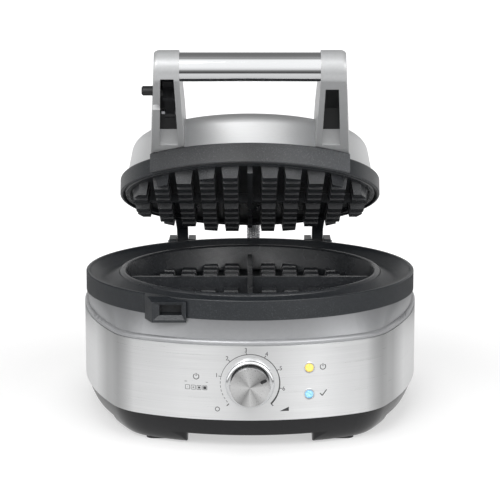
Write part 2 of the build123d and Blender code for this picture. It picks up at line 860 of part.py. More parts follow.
def dome_outline(inset):
    """Foot, wall top, middle of the bend and edge of the crown, moved inwards by inset."""
    radius = dome_shoulder - inset
    middle = (dome_lean + radians(90)) / 2
    top_x, top_z = bend_radius + radius * cos(dome_lean), bend_z + radius * sin(dome_lean)
    return (
        (top_x + (top_z - lid_rim_top_z) * tan(dome_lean), lid_rim_top_z),
        (top_x, top_z),
        (bend_radius + radius * cos(middle), bend_z + radius * sin(middle)),
        (bend_radius, bend_z + radius),
    )


outer_foot, outer_wall, outer_bend, outer_crown = dome_outline(0)
inner_foot, inner_wall, inner_bend, inner_crown = dome_outline(dome_sheet)
with BuildPart() as lid_dome:
    with BuildSketch(Plane.XZ):
        with BuildLine():
            Line(inner_foot, outer_foot)
            Line(outer_foot, outer_wall)
            ThreePointArc(outer_wall, outer_bend, outer_crown)
            Polyline(outer_crown, (0, dome_top_z), (0, dome_top_z - dome_sheet), inner_crown)
            ThreePointArc(inner_crown, inner_bend, inner_wall)
            Line(inner_wall, inner_foot)
        make_face()
    revolve(axis=Axis.Z)
with BuildPart() as dome_solid:
    with BuildSketch(Plane.XZ):
        with BuildLine():
            Polyline((0, dome_top_z), (0, lid_rim_top_z), outer_foot, outer_wall)
            ThreePointArc(outer_wall, outer_bend, outer_crown)
            Line(outer_crown, (0, dome_top_z))
        make_face()
    revolve(axis=Axis.Z)
lid_pieces["lid_dome"] = lid_dome

upper_studs = studs(upper_floor_z + 0.5, upper_stud_tip_z)
upper_rim_radius = lid_rim_radius - rim_wall - gap
upper_back_z = upper_floor_z + 4.5
upper_reflector_z = upper_back_z + 18.0
with BuildPart() as upper_plate:
    with BuildSketch(Plane.XZ):
        with BuildLine():
            Polyline(
                (0, upper_floor_z),
                (cavity_floor_radius - 1, upper_floor_z),
                (cavity_floor_radius + 1, lid_rim_z + 1.4),
                (cavity_floor_radius + 2, lid_rim_z + 0.6),
                (upper_rim_radius - 1.2, lid_rim_z + 0.6),
                (upper_rim_radius, lid_rim_z + 1.8),
                (upper_rim_radius, upper_back_z + 3),
                (cavity_floor_radius, upper_back_z + 3),
                (cavity_floor_radius - 4, upper_back_z),
                (0, upper_back_z),
                close=True,
            )
        make_face()
    revolve(axis=Axis.Z)
    add(upper_studs)
    with BuildSketch(Plane.XY.offset(upper_divider_z)):
        Rectangle(2 * cavity_floor_radius - 1, divider_width)
        Rectangle(divider_width, 2 * cavity_floor_radius - 1)
    extrude(amount=upper_floor_z - upper_divider_z + 1)
    with BuildSketch(Plane.XY.offset(upper_back_z)):
        with Locations(*boss_points):
            Circle(5)
    extrude(amount=upper_reflector_z - upper_back_z)
    with BuildSketch(Plane.XY.offset(upper_reflector_z - 14)):
        with Locations(*boss_points):
            Circle(2.0)
    extrude(amount=14, mode=Mode.SUBTRACT)
lid_pieces["upper_plate"] = upper_plate

# The upper element is the lower one turned over.
upper_element_z = upper_back_z + element_radius + 0.1
mid_plane = Plane.XY.offset((lower_element_z + upper_element_z) / 2)
with BuildPart() as upper_heater:
    add(lower_heater.part.mirror(mid_plane))
lid_pieces["upper_heater"] = upper_heater

with BuildPart() as upper_reflector:
    with BuildSketch(Plane.XY.offset(upper_reflector_z)):
        Circle(93)
        with Locations(*leg_ends):
            Circle(element_radius + 1.5, mode=Mode.SUBTRACT)
        with Locations(*boss_points):
            Circle(2.1, mode=Mode.SUBTRACT)
    extrude(amount=sheet)
lid_pieces["upper_reflector"] = upper_reflector

cap_screw = screw(1.9, 11, 4.0, 2.4, -upper_reflector_z - sheet).rotate(Axis.X, 180)
with BuildPart() as upper_screws:
    with Locations(*boss_points):
        add(cap_screw)
lid_pieces["upper_screws"] = upper_screws

with BuildPart() as upper_thermostat:
    with BuildSketch(Plane.XY.offset(upper_back_z)):
        with Locations((24, 0)):
            Circle(8.5)
    extrude(amount=5)
    with BuildSketch(Plane.XY.offset(upper_back_z + 5)):
        with Locations((24, 0)):
            Circle(7)
        with Locations((24, 0)):
            Rectangle(20, 5)
    extrude(amount=5)
lid_pieces["upper_thermostat"] = upper_thermostat

# ---------------------------------------------------------------- handle
band_bottom_z = lid_rim_z + 0.6
with BuildPart() as handle_band:
    with BuildSketch(Plane.XZ):
        with BuildLine():
            Polyline(
                (lid_rim_radius, band_bottom_z),
                (band_radius - 0.8, band_bottom_z),
                (band_radius, band_bottom_z + 0.8),
                (band_radius, band_top_z - 0.8),
                (band_radius - 0.8, band_top_z),
                (dome_radius + gap, band_top_z),
                (dome_radius + gap, lid_rim_top_z),
                (lid_rim_radius, lid_rim_top_z),
                close=True,
            )
        make_face()
    revolve(axis=Axis.Z, revolution_arc=2 * band_half_angle)
handle_band.part = handle_band.part.rotate(Axis.Z, -90 - band_half_angle)
lid_pieces["handle_band"] = handle_band

arm_top_z = tube_z + arm_end_radius
arm_foot_y = -92.0
pocket_depth = 19.2
pocket_ramp_y = -128.0
pocket_end_y = -99.0
pocket_deep_y = -204.0      # beyond it the tie rod leaves room for a shallow pocket only
pocket_shallow = 6.0
pocket_starts = {-1: -214.5, 1: -198.5}
core_thickness = 2.0
core_end_y = -111.0


def underside(y):
    """Height of the arm's sloping underside."""
    slope = (band_top_z - (tube_z - arm_end_radius)) / (arm_foot_y - tube_y)
    return tube_z - arm_end_radius + slope * (y - tube_y)


corner_round = 5.0


def arm_section(y, outer_x):
    """Front view of the arm at y: square inside, rounded at the top outside corner."""
    with BuildSketch(Plane.XZ.offset(-y)) as section:
        with BuildLine():
            side = Polyline(
                (arm_inner_x, arm_top_z),
                (arm_inner_x, band_top_z - 1),
                (outer_x, band_top_z - 1),
                (outer_x, arm_top_z - corner_round),
            )
            bend = RadiusArc(side @ 1, (outer_x - corner_round, arm_top_z), -corner_round)
            Line(bend @ 1, side @ 0)
        make_face()
    return section.sketch


front_section = arm_section(tube_y - 20, arm_front_x)
rear_section = arm_section(arm_rear_y, arm_rear_x)
with BuildPart() as arm_blank:
    add(front_section)
    add(rear_section)
    loft(ruled=True)
    with BuildSketch(Plane.YZ.offset(arm_inner_x)):
        with BuildLine():
            lower = Polyline(
                (arm_rear_y, dome_top_z - 2),
                (arm_rear_y, band_top_z),
                (arm_foot_y, band_top_z),
                (tube_y, tube_z - arm_end_radius),
            )
            nose = ThreePointArc(lower @ 1, (tube_y - arm_end_radius, tube_z), (tube_y, arm_top_z))
            upper = Line(nose @ 1, (arm_rear_y - 60, arm_top_z - 1))
            ThreePointArc(upper @ 1, (arm_rear_y - 28, arm_top_z - 5), lower @ 0)
        make_face()
    extrude(amount=40, mode=Mode.INTERSECT)

# The nose's outer end is rounded over its top and front, fading out towards the underside.
nose_outer_x = arm_front_x + 1.0
nose_slant = 5.0
nose_round = 5.6
with BuildPart() as nose_end:
    with BuildSketch(Plane.YZ.offset(arm_inner_x - 1)):
        with Locations((tube_y, tube_z)):
            Circle(arm_end_radius)
    extrude(amount=40)
    with BuildSketch(Plane.XZ.offset(-tube_y - 20)):
        with BuildLine():
            Polyline(
                (nose_outer_x - nose_slant / 5, tube_z + arm_end_radius + 5),
                (nose_outer_x + nose_slant * 1.2, tube_z - arm_end_radius - 5),
                (nose_outer_x + 40, tube_z - arm_end_radius - 5),
                (nose_outer_x + 40, tube_z + arm_end_radius + 5),
                close=True,
            )
        make_face()
    extrude(amount=40, mode=Mode.SUBTRACT)
    fillet(nose_end.faces().sort_by(Axis.X)[-1].edges(), radius=nose_round)
with BuildPart() as nose_waste:
    with BuildSketch(Plane.YZ.offset(arm_inner_x - 0.5)):
        with Locations((tube_y - 10, tube_z)):
            Rectangle(20, 30)
    extrude(amount=30)
    add(nose_end.part, mode=Mode.SUBTRACT)
arm_blank.part = arm_blank.part - nose_waste.part


def pocket_solid(start, depth, end_x, shallow, inner_x=55.0, inner_rear_x=55.6):
    """Underside pocket of the right arm from start to the lip at its foot, shallow below the tie rod."""
    deep_start = max(start, pocket_deep_y)
    mouth = [(start, underside(start) - 10)]
    if start < deep_start:
        mouth += [(start, underside(tube_y) + shallow), (deep_start, underside(tube_y) + shallow)]
    with BuildPart() as pocket:
        with BuildSketch(Plane.YZ.offset(arm_inner_x)):
            with BuildLine():
                Polyline(
                    *mouth,
                    (deep_start, underside(deep_start) + depth * 0.6),
                    (deep_start + 5, underside(deep_start + 5) + depth),
                    (pocket_ramp_y, underside(pocket_ramp_y) + depth),
                    (pocket_end_y, underside(pocket_end_y) + 1.2),
                    (pocket_end_y, underside(pocket_end_y) - 10),
                    close=True,
                )
            make_face()
        extrude(amount=40)
        with BuildSketch(Plane.XY.offset(band_top_z - 20)):
            with BuildLine():
                Polyline(
                    (inner_x, start - 1),
                    (64.6, start - 1),
                    (end_x, pocket_end_y + 1),
                    (inner_rear_x, pocket_end_y + 1),
                    close=True,
                )
            make_face()
        extrude(amount=80, mode=Mode.INTERSECT)
    return pocket.part


tie_radius = 3.0
foot_screw_points = ((57.0, -85.7), (66.0, -79.0))
for side, name in ((1, "right"), (-1, "left")):
    start = pocket_starts[side]
    pocket = pocket_solid(start, pocket_depth, 70.0, pocket_shallow)
    ceiling = pocket_solid(start, pocket_depth - core_thickness, 70.0, pocket_shallow - core_thickness)
    with BuildPart() as arm:
        add(arm_blank.part)
        add(dome_solid.part, mode=Mode.SUBTRACT)
        add(pocket, mode=Mode.SUBTRACT)
        with BuildSketch(Plane.YZ.offset(arm_inner_x)):
            with Locations((tube_y, tube_z)):
                Circle(tie_radius + 0.05)
        extrude(amount=9, mode=Mode.SUBTRACT)
        with BuildSketch(Plane.XY.offset(band_top_z - 1)):
            with Locations(*foot_screw_points):
                Circle(2.0)
        extrude(amount=12, mode=Mode.SUBTRACT)
    with BuildPart() as core:
        add(pocket)
        add(ceiling, mode=Mode.SUBTRACT)
        with BuildSketch(Plane.XY.offset(band_top_z - 20)):
            with Locations((60, core_end_y + 50)):
                Rectangle(60, 100)
        extrude(amount=80, mode=Mode.SUBTRACT)
    if side < 0:
        arm.part = arm.part.mirror(Plane.YZ)
        core.part = core.part.mirror(Plane.YZ)
    lid_pieces[f"handle_arm_{name}"] = arm
    lid_pieces[f"arm_core_{name}"] = core

with BuildPart() as handle_tube:
    with BuildSketch(Plane.YZ.offset(-arm_inner_x)):
        with Locations((tube_y, tube_z)):
            Circle(tube_radius)
            Circle(tube_radius - 1.2, mode=Mode.SUBTRACT)
    extrude(amount=2 * arm_inner_x)
lid_pieces["handle_tube"] = handle_tube

with BuildPart() as tie_rod:
    with BuildSketch(Plane.YZ.offset(-arm_inner_x - 9)):
        with Locations((tube_y, tube_z)):
            Circle(tie_radius)
    extrude(amount=2 * arm_inner_x + 18)
lid_pieces["tie_rod"] = tie_rod

# ---------------------------------------------------------------- storage latch in the left arm
latch_left_x = latch_x - latch_width / 2
bar_angle = 10.5            # degrees that the stowed lever points above the horizontal
tooth_length = 11.5
lever_length = 56.0
latch_knob_reach = 35.0
latch_knob_radius = 3.6
latch_knob_end_x = -80.5
latch_forward = (-cos(radians(bar_angle)), sin(radians(bar_angle)))


def on_latch(along, across=0.0):
    """Point on the stowed lever: along it from the pivot, and across it towards the mouth."""
    return (
        latch_y + along * latch_forward[0] - across * latch_forward[1],
        latch_z + along * latch_forward[1] + across * latch_forward[0],
    )


with BuildPart() as latch_lever:
    with BuildSketch(Plane.YZ.offset(latch_left_x)):
        with BuildLine():
            Polyline(
                on_latch(0, -3.4),
                on_latch(lever_length, -3.4),
                on_latch(lever_length, 3.4),
                on_latch(latch_reach + 3.0, 3.4),
                on_latch(latch_reach + 2.5, tooth_length),
                on_latch(latch_reach - 1.6, tooth_length),
                on_latch(latch_reach - 2.4, 3.4),
                on_latch(0, 3.4),
                close=True,
            )
        make_face()
        with Locations((latch_y, latch_z)):
            Circle(5.0)
            Circle(2.05, mode=Mode.SUBTRACT)
        with Locations(on_latch(latch_knob_reach)):
            Circle(1.8, mode=Mode.SUBTRACT)
    extrude(amount=latch_width)

with BuildPart() as latch_pin:
    with BuildSketch(Plane.YZ.offset(-67.0)):
        with Locations((latch_y, latch_z)):
            Circle(2.0)
    extrude(amount=13.0)

knob_centre = on_latch(latch_knob_reach)
with BuildPart() as latch_knob:
    with BuildSketch(Plane.YZ.offset(latch_knob_end_x)):
        with Locations(knob_centre):
            Circle(latch_knob_radius)
    extrude(amount=latch_left_x - latch_knob_end_x)
    chamfer(latch_knob.faces().sort_by(Axis.X)[0].edges(), length=1.0)
    with BuildSketch(Plane.YZ.offset(latch_left_x)):
        with Locations(knob_centre):
            Circle(1.8)
    extrude(amount=latch_width)

left_arm = lid_pieces["handle_arm_left"]
slot_reach = latch_knob_radius + 0.8
with BuildPart() as latch_slot:
    with BuildSketch(Plane.YZ.offset(-90)):
        with Locations((latch_y, latch_z)):
            Circle(latch_knob_reach + slot_reach)
            Circle(latch_knob_reach - slot_reach, mode=Mode.SUBTRACT)
        with Locations((latch_y - 50, knob_centre[1] - 50)):
            Rectangle(100, 100, mode=Mode.INTERSECT)
        with Locations(knob_centre):
            Circle(slot_reach)
    extrude(amount=27)
left_arm.part = left_arm.part - latch_slot.part - latch_pin.part
lid_pieces["arm_core_left"].part = lid_pieces["arm_core_left"].part - latch_pin.part
lid_pieces["latch_lever"] = latch_lever
lid_pieces["latch_knob"] = latch_knob
lid_pieces["latch_pin"] = latch_pin

# ---------------------------------------------------------------- handle, hinge and bracket screws
# Two screws per arm rise through the band's flange into the arm's foot.
arm_screw_points = [(side * x, y) for side in (-1, 1) for x, y in foot_screw_points]
foot_screw = screw(1.9, 11, 2.6, 1.6, lid_rim_top_z)
with BuildPart() as handle_screws:
    with Locations(*arm_screw_points):
        add(foot_screw)
for node in ("handle_band", "lid_rim"):
    with BuildPart() as drilled:
        add(lid_pieces[node].part)
        with BuildSketch(Plane.XY.offset(lid_rim_top_z)):
            with Locations(*arm_screw_points):
                Circle(2.1 if node == "handle_band" else 2.9)
        extrude(amount=6 if node == "handle_band" else -6, mode=Mode.SUBTRACT)
    lid_pieces[node].part = drilled.part
lid_pieces["handle_screws"] = handle_screws

bracket_screw = screw(1.5, bracket_screw_length, 2.7, 1.6, bracket_screw_seat_z)
with BuildPart() as bracket_screws:
    with Locations(*bracket_screw_points):
        add(bracket_screw)
pieces["bracket_screws"] = bracket_screws

# ---------------------------------------------------------------- wire conduit across the hinge
conduit_radius = 6.2
conduit_x = 3.0
conduit_y = 149.0
conduit_start_z = 107.0
lid_exit = (115.0, 126.5)   # y, z of the lid's ferrule face, lid closed


def opened(y, z):
    """Where a point of the closed lid goes when the lid stands at its rest opening."""
    dy, dz = y - hinge_y, z - hinge_z
    turn = radians(rest_opening)
    return (hinge_y + dy * cos(turn) + dz * sin(turn), hinge_z - dy * sin(turn) + dz * cos(turn))


exit_y, exit_z = opened(*lid_exit)
away_y, away_z = opened(lid_exit[0] + 1, lid_exit[1])
slope_y, slope_z = away_y - exit_y, away_z - exit_z
bend_z = exit_z + slope_z * (conduit_y - exit_y) / slope_y
with BuildPart() as lid_conduit:
    with BuildLine() as route:
        FilletPolyline(
            (conduit_x, conduit_y, conduit_start_z),
            (conduit_x, conduit_y, bend_z),
            (conduit_x, exit_y, exit_z),
            radius=17,
        )
    with BuildSketch(Plane.XY.offset(conduit_start_z)):
        with Locations((conduit_x, conduit_y)):
            Circle(conduit_radius)
    sweep(path=route.line)
pieces["lid_conduit"] = lid_conduit

with BuildPart() as base_ferrule:
    with BuildSketch(Plane.XY.offset(deck_z)):
        with Locations((conduit_x, conduit_y)):
            RegularPolygon(9.5, 6)
    extrude(amount=4)
    with BuildSketch(Plane.XY.offset(deck_z)):
        with Locations((conduit_x, conduit_y)):
            Circle(7)
    extrude(amount=conduit_start_z - deck_z)
pieces["base_ferrule"] = base_ferrule

with BuildPart() as lid_ferrule:
    with BuildSketch(Plane.XZ.offset(-lid_exit[0])):
        with Locations((conduit_x, lid_exit[1])):
            Circle(7.4)
    extrude(amount=16)
    with BuildSketch(Plane.XY.offset(110)):
        Circle(lid_rim_radius)
    extrude(amount=30, mode=Mode.SUBTRACT)
lid_pieces["lid_ferrule"] = lid_ferrule

# ---------------------------------------------------------------- writing the pieces
for node, piece in lid_pieces.items():
    piece.part = piece.part.rotate(hinge_axis, -rest_opening)

for node, piece in {**pieces, **lid_pieces}.items():
    piece.part.label = node
    export_step(piece.part, f"parts/{node}.step")
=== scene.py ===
import json
from math import cos, hypot, pi, radians, sin, sqrt, tan

import bpy
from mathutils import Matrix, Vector


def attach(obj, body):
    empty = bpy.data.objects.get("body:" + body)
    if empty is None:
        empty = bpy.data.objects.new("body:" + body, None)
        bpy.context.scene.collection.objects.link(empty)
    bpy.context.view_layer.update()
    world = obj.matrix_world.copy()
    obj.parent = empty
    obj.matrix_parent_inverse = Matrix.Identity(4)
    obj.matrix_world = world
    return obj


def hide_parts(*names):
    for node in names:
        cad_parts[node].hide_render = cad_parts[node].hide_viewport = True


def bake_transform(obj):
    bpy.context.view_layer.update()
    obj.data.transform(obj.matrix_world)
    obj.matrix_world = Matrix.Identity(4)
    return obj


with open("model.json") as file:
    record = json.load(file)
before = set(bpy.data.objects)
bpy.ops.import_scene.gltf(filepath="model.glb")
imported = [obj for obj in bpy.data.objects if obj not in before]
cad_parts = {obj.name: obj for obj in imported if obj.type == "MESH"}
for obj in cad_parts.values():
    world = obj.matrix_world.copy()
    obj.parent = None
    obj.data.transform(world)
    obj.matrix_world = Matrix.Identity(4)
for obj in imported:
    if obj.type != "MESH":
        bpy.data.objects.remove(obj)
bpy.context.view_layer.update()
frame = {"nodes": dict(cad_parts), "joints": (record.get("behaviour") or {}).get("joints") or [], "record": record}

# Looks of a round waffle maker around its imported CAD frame. Metres, +Z up, the front faces -Y.
nodes = frame["nodes"]
joints = {joint["name"]: joint for joint in frame["joints"]}
scene = bpy.context.scene
MM = 0.001
UP = Vector((0, 0, 1))
ACROSS = Vector((1, 0, 0))

# Places on the CAD frame that several looks share.
dial_height = 53 * MM
shoulder_bottom = 82 * MM
deck_height = 101.5 * MM

# ---------------------------------------------------------------- camera
camera_place = (0.0, -1.590, 0.427)
camera_pitch = radians(10.55)
camera_data = bpy.data.cameras.new("camera")
camera_data.lens = 142.3
camera_data.sensor_width = 36.0
camera = bpy.data.objects.new("camera", camera_data)
camera.location = camera_place
camera.rotation_euler = (pi / 2 - camera_pitch, 0, 0)
scene.collection.objects.link(camera)
scene.camera = camera
scene.view_settings.view_transform = "Standard"
scene.view_settings.look = "None"


# ---------------------------------------------------------------- material helpers
def new_material(name, colour, roughness, metallic=0.0):
    """A node material with one Principled shader, and its node tree."""
    material = bpy.data.materials.new(name)
    material.use_nodes = True
    tree = material.node_tree
    shader = tree.nodes["Principled BSDF"]
    shader.inputs["Base Color"].default_value = (*colour, 1.0)
    shader.inputs["Roughness"].default_value = roughness
    shader.inputs["Metallic"].default_value = metallic
    return material, tree, shader


def texture_space(tree, scale=(1, 1, 1)):
    """Object coordinates in metres, stretched by scale."""
    place = tree.nodes.new("ShaderNodeTexCoord")
    mapping = tree.nodes.new("ShaderNodeMapping")
    mapping.inputs["Scale"].default_value = scale
    tree.links.new(place.outputs["Object"], mapping.inputs["Vector"])
    return mapping.outputs["Vector"]


def noise(tree, vector, scale, detail=2.0, roughness=0.5):
    """Noise between 0 and 1 at vector."""
    node = tree.nodes.new("ShaderNodeTexNoise")
    node.inputs["Scale"].default_value = scale
    node.inputs["Detail"].default_value = detail
    node.inputs["Roughness"].default_value = roughness
    tree.links.new(vector, node.inputs["Vector"])
    return node.outputs["Fac"]


def spread(tree, value, low, high, start=0.3, end=0.7):
    """Maps value from start..end to low..high."""
    node = tree.nodes.new("ShaderNodeMapRange")
    node.inputs["From Min"].default_value = start
    node.inputs["From Max"].default_value = end
    node.inputs["To Min"].default_value = low
    node.inputs["To Max"].default_value = high
    tree.links.new(value, node.inputs["Value"])
    return node.outputs["Result"]


def colour_mix(tree, factor, first, second):
    """Mixes two colours by factor."""
    node = tree.nodes.new("ShaderNodeMix")
    node.data_type = "RGBA"
    node.inputs["A"].default_value = (*first, 1.0)
    node.inputs["B"].default_value = (*second, 1.0)
    tree.links.new(factor, node.inputs["Factor"])
    return node.outputs["Result"]


def add_bump(tree, shader, height, strength, distance):
    """Bumps the shader's normal by height."""
    node = tree.nodes.new("ShaderNodeBump")
    node.inputs["Strength"].default_value = strength
    node.inputs["Distance"].default_value = distance
    tree.links.new(height, node.inputs["Height"])
    tree.links.new(node.outputs["Normal"], shader.inputs["Normal"])


def grained(name, colour, lighter, roughness, grain, bump):
    """Moulded or coated surface: fine grain, small bright specks and a faint unevenness."""
    material, tree, shader = new_material(name, colour, roughness)
    place = texture_space(tree)
    fine = noise(tree, place, grain, 2.0, 0.6)
    broad = noise(tree, place, 18.0, 3.0)
    specks = spread(tree, fine, 0.0, 1.0, 0.55, 0.75)
    tree.links.new(colour_mix(tree, specks, colour, lighter), shader.inputs["Base Color"])
    tree.links.new(spread(tree, broad, roughness - 0.05, roughness + 0.07), shader.inputs["Roughness"])
    add_bump(tree, shader, fine, bump, 0.3 * MM)
    return material


def brushed(name, colour, roughness, stretch, anisotropy=0.0, turn=0.0, contrast=0.06, metallic=1.0):
    """Brushed metal: long scratches along the axis where stretch is smallest."""
    material, tree, shader = new_material(name, colour, roughness, metallic)
    lines = noise(tree, texture_space(tree, stretch), 1.0, 5.0, 0.65)
    darker = tuple(c * (1 - contrast) for c in colour)
    lighter = tuple(min(1.0, c * (1 + contrast)) for c in colour)
    tree.links.new(colour_mix(tree, spread(tree, lines, 0, 1), darker, lighter), shader.inputs["Base Color"])
    tree.links.new(spread(tree, lines, roughness - 0.05, roughness + 0.06), shader.inputs["Roughness"])
    add_bump(tree, shader, lines, 0.05, 0.1 * MM)
    shader.inputs["Anisotropic"].default_value = anisotropy
    shader.inputs["Anisotropic Rotation"].default_value = turn
    return material


def polished(name, colour, roughness):
    """Polished metal with faint smudges in its gloss."""
    material, tree, shader = new_material(name, colour, roughness, metallic=1.0)
    smudges = noise(tree, texture_space(tree), 60.0, 4.0)
    tree.links.new(spread(tree, smudges, roughness, roughness + 0.04), shader.inputs["Roughness"])
    add_bump(tree, shader, smudges, 0.02, 0.2 * MM)
    return material


def lens_material(name, colour, glow):
    """Tinted translucent lamp lens with a soft inner glow."""
    material, tree, shader = new_material(name, colour, 0.12)
    bright = noise(tree, texture_space(tree), 700.0, 1.0)
    tree.links.new(colour_mix(tree, spread(tree, bright, 0, 1), colour, glow), shader.inputs["Base Color"])
    shader.inputs["Transmission Weight"].default_value = 0.15
    shader.inputs["Emission Color"].default_value = (*glow, 1.0)
    shader.inputs["Emission Strength"].default_value = 0.25
    shader.inputs["Coat Weight"].default_value = 0.8
    return material


def math_node(tree, operation, *values):
    """A math node: numbers are set on its sockets, outputs are linked."""
    node = tree.nodes.new("ShaderNodeMath")
    node.operation = operation
    for socket, value in zip(node.inputs, values):
        if isinstance(value, (int, float)):
            socket.default_value = value
        else:
            tree.links.new(value, socket)
    return node.outputs["Value"]


def ramp(tree, value, stops):
    """Colour ramp of greys: stops are (place, grey)."""
    node = tree.nodes.new("ShaderNodeValToRGB")
    elements = node.color_ramp.elements
    while len(elements) < len(stops):
        elements.new(0.5)
    for element, (place, grey) in zip(elements, stops):
        element.position = place
        element.color = (grey, grey, grey, 1.0)
    tree.links.new(value, node.inputs["Fac"])
    return node.outputs["Color"]


def object_axes(tree):
    """Object X, Y and Z in metres."""
    place = tree.nodes.new("ShaderNodeTexCoord")
    split = tree.nodes.new("ShaderNodeSeparateXYZ")
    tree.links.new(place.outputs["Object"], split.inputs["Vector"])
    return split.outputs


def multiply(tree, first, second):
    """Multiplies two colours."""
    mix = tree.nodes.new("ShaderNodeMix")
    mix.data_type = "RGBA"
    mix.blend_type = "MULTIPLY"
    mix.inputs["Factor"].default_value = 1.0
    tree.links.new(first, mix.inputs["A"])
    tree.links.new(second, mix.inputs["B"])
    return mix.outputs["Result"]


def paint_light_and_shade(material, grey):
    """Paints light and shade into a material: multiplies its base colour by a grey pattern."""
    tree = material.node_tree
    base = tree.nodes["Principled BSDF"].inputs["Base Color"]
    tree.links.new(multiply(tree, base.links[0].from_socket, grey), base)


def choose(tree, factor, otherwise, chosen):
    """Mixes two shaders by factor."""
    mix = tree.nodes.new("ShaderNodeMixShader")
    tree.links.new(factor, mix.inputs["Fac"])
    tree.links.new(otherwise, mix.inputs[1])
    tree.links.new(chosen, mix.inputs[2])
    return mix.outputs["Shader"]


def light_path(tree, kind):
    """1 on rays of one kind, such as Is Camera Ray."""
    return tree.nodes.new("ShaderNodeLightPath").outputs[kind]


# ---------------------------------------------------------------- materials
def brushed_steel_with_painted_reflections():
    """Brushed steel with painted reflections: soft darker bands where the front turns into the sides, and a
    slightly darker middle.
    """
    material = brushed("steel_band", (0.90, 0.905, 0.91), 0.32, (14, 14, 2600), 0.6, 0.25, contrast=0.04)
    tree = material.node_tree
    across = math_node(tree, "ABSOLUTE", object_axes(tree)["X"])
    # Painted reflections: dark bands about 103 to 113 mm either side of the middle stand in for dark studio flags,
    # and the middle is painted a little darker.
    paint_light_and_shade(material, ramp(tree, math_node(tree, "DIVIDE", across, 150 * MM), (
        (0.0, 0.86), (0.16, 0.92), (0.35, 1.0), (0.60, 0.98),
        (0.685, 0.60), (0.75, 0.62), (0.82, 1.0), (1.0, 0.92),
    )))
    return material


def shoulder_with_painted_light_and_shade():
    """Silver moulding with painted light and shade: bright along its lower edge, darker up to the deck."""
    material = brushed(
        "silver_shoulder", (0.36, 0.365, 0.375), 0.40, (300, 300, 300), contrast=0.03, metallic=0.6
    )
    tree = material.node_tree
    height = spread(tree, object_axes(tree)["Z"], 0.0, 1.0, shoulder_bottom, deck_height)
    # Painted highlight along the lower edge and painted shade from there up to the deck.
    paint_light_and_shade(material, ramp(tree, height, ((0.0, 1.0), (0.18, 1.0), (0.30, 0.92), (1.0, 0.62))))
    return material


def spun_with_painted_sheen():
    """Painted conical sheen of a spun face: painted bright and dark wedges of reflection round the knob's axis."""
    material = brushed("spun_aluminium", (0.80, 0.80, 0.80), 0.30, (900, 900, 900), contrast=0.05)
    tree = material.node_tree
    axes = object_axes(tree)
    height = math_node(tree, "SUBTRACT", axes["Z"], dial_height)
    turn = math_node(tree, "ARCTAN2", axes["X"], height)
    around = math_node(tree, "ADD", math_node(tree, "DIVIDE", turn, 2 * pi), 0.5)
    # Painted reflections: bright and dark wedges by angle round the knob's axis.
    paint_light_and_shade(material, ramp(tree, around, (
        (0.0, 0.95), (0.08, 0.45), (0.17, 0.85), (0.26, 1.0), (0.38, 0.62), (0.46, 0.98), (0.56, 0.72),
        (0.66, 0.35), (0.74, 0.95), (0.84, 1.0), (0.92, 0.60), (1.0, 0.95),
    )))
    return material


def grained_band_with_painted_reflections():
    """The handle band's grain, with painted reflections that make it lighter at its ends and most of all at the
    right.
    """
    material = grained("band_grain_and_painted_reflections", (0.06, 0.063, 0.068), (0.19, 0.195, 0.20), 0.42, 1400.0, 0.35)
    tree = material.node_tree
    across = spread(tree, object_axes(tree)["X"], 0.0, 1.0, -80 * MM, 80 * MM)
    # Painted reflections: lighter towards both ends, most of all at the right.
    paint_light_and_shade(material, ramp(tree, across, ((0.0, 0.55), (0.5, 0.35), (1.0, 1.0))))
    return material


finishes = {
    "gloss_black": grained("gloss_black", (0.006, 0.006, 0.007), (0.009, 0.009, 0.010), 0.20, 400.0, 0.03),
    "rubber": grained("rubber", (0.016, 0.016, 0.017), (0.022, 0.022, 0.023), 0.7, 700.0, 0.3),
    "steel_band": brushed_steel_with_painted_reflections(),
    "black_plastic": grained(
        "black_plastic", (0.008, 0.0085, 0.0095), (0.014, 0.015, 0.016), 0.42, 1600.0, 0.2
    ),
    "silver_shoulder": shoulder_with_painted_light_and_shade(),
    "dark_ring": grained("dark_ring", (0.010, 0.012, 0.0145), (0.046, 0.050, 0.056), 0.36, 1400.0, 0.5),
    "nonstick_plate": grained(
        "nonstick_plate", (0.018, 0.0195, 0.022), (0.070, 0.074, 0.080), 0.28, 1300.0, 0.5
    ),
    "element": brushed("element", (0.20, 0.18, 0.17), 0.5, (300, 300, 300), contrast=0.2),
    "sheet_aluminium": brushed("sheet_aluminium", (0.74, 0.74, 0.75), 0.3, (30, 1500, 1500)),
    "screws": brushed("screws", (0.60, 0.60, 0.61), 0.28, (600, 600, 600)),
    "zinc": brushed("zinc", (0.55, 0.56, 0.58), 0.3, (400, 400, 400)),
    "sensor": brushed("sensor", (0.55, 0.55, 0.53), 0.4, (500, 500, 500)),
    "white_nylon": grained("white_nylon", (0.72, 0.71, 0.67), (0.76, 0.75, 0.71), 0.5, 700.0, 0.1),
    "circuit_board": grained("circuit_board", (0.02, 0.12, 0.05), (0.03, 0.16, 0.07), 0.35, 500.0, 0.05),
    "components": grained("components", (0.02, 0.02, 0.024), (0.04, 0.04, 0.045), 0.45, 900.0, 0.1),
    "amber_lens": lens_material("amber_lens", (0.80, 0.55, 0.05), (1.0, 0.80, 0.22)),
    "blue_lens": lens_material("blue_lens", (0.10, 0.36, 0.60), (0.40, 0.70, 0.90)),
    "chrome_trim": polished("satin_chrome", (0.86, 0.87, 0.88), 0.14),
    "spun_aluminium": spun_with_painted_sheen(),
    "steel_dome": brushed("steel_dome", (0.79, 0.795, 0.80), 0.50, (20, 1400, 1400), 0.2, contrast=0.03),
    "satin_arm": brushed(
        "satin_arm", (0.40, 0.405, 0.41), 0.36, (500, 24, 500), contrast=0.04, metallic=0.35
    ),
    "chrome_tube": polished("chrome", (0.82, 0.83, 0.84), 0.07),
    "braid": brushed("braid", (0.85, 0.85, 0.86), 0.28, (900, 900, 900), contrast=0.15),
}
